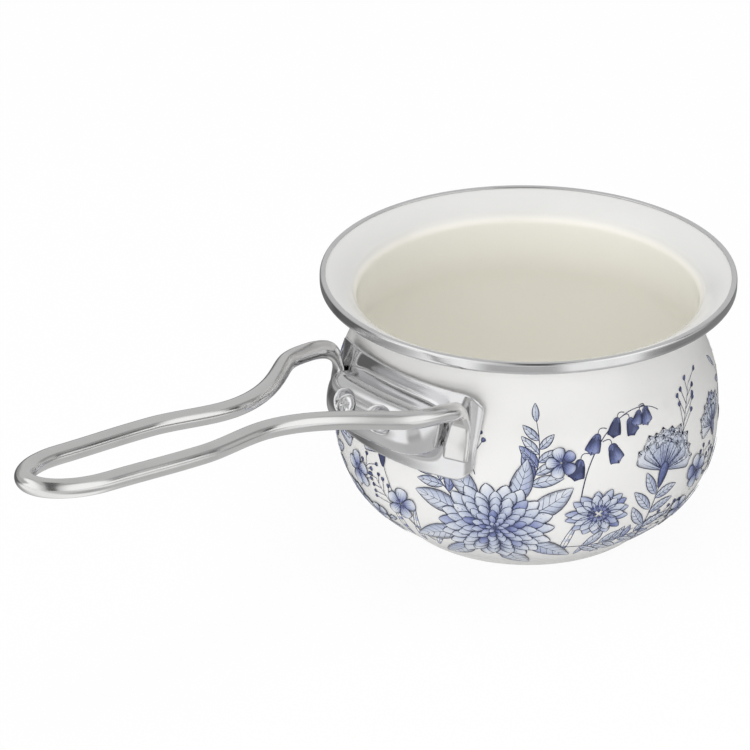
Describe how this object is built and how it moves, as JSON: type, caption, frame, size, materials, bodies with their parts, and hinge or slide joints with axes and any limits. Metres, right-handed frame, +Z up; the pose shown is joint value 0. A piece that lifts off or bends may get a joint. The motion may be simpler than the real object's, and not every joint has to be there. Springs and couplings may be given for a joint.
{
  "type": "enamel saucepan",
  "caption": "Bellied enamelled steel saucepan with a flared steel-trimmed rim and a bent steel rod handle on a pressed bracket.",
  "frame": {"origin": "centre of the flat base, on the pan's axis", "axes": "+Z up along the pan's axis, -Y along the handle from the pan to its tip, +X to the right as seen from the handle's tip towards the pan"},
  "size_m": [0.17, 0.3504, 0.1103],
  "materials": {
    "white_enamel": "glossy white vitreous enamel with a blue flower print fired under the glaze",
    "cream_enamel": "glossy cream vitreous enamel",
    "pan_steel": "plain pressed steel sheet, covered by the enamel",
    "trim_steel": "polished stainless steel",
    "bracket_steel": "polished stainless steel sheet",
    "rod_steel": "stainless steel rod with a fine polish",
    "screw_steel": "bright plated cross-recess screw"
  },
  "bodies": {
    "root": {"outer_enamel": "white_enamel", "steel_shell": "pan_steel", "inner_enamel": "cream_enamel", "rim_trim": "trim_steel", "handle_bracket": "bracket_steel", "handle_rod": "rod_steel", "screw_boss_left": "pan_steel", "screw_boss_right": "pan_steel", "screw_left": "screw_steel", "screw_right": "screw_steel"}
  },
  "joints": []
}
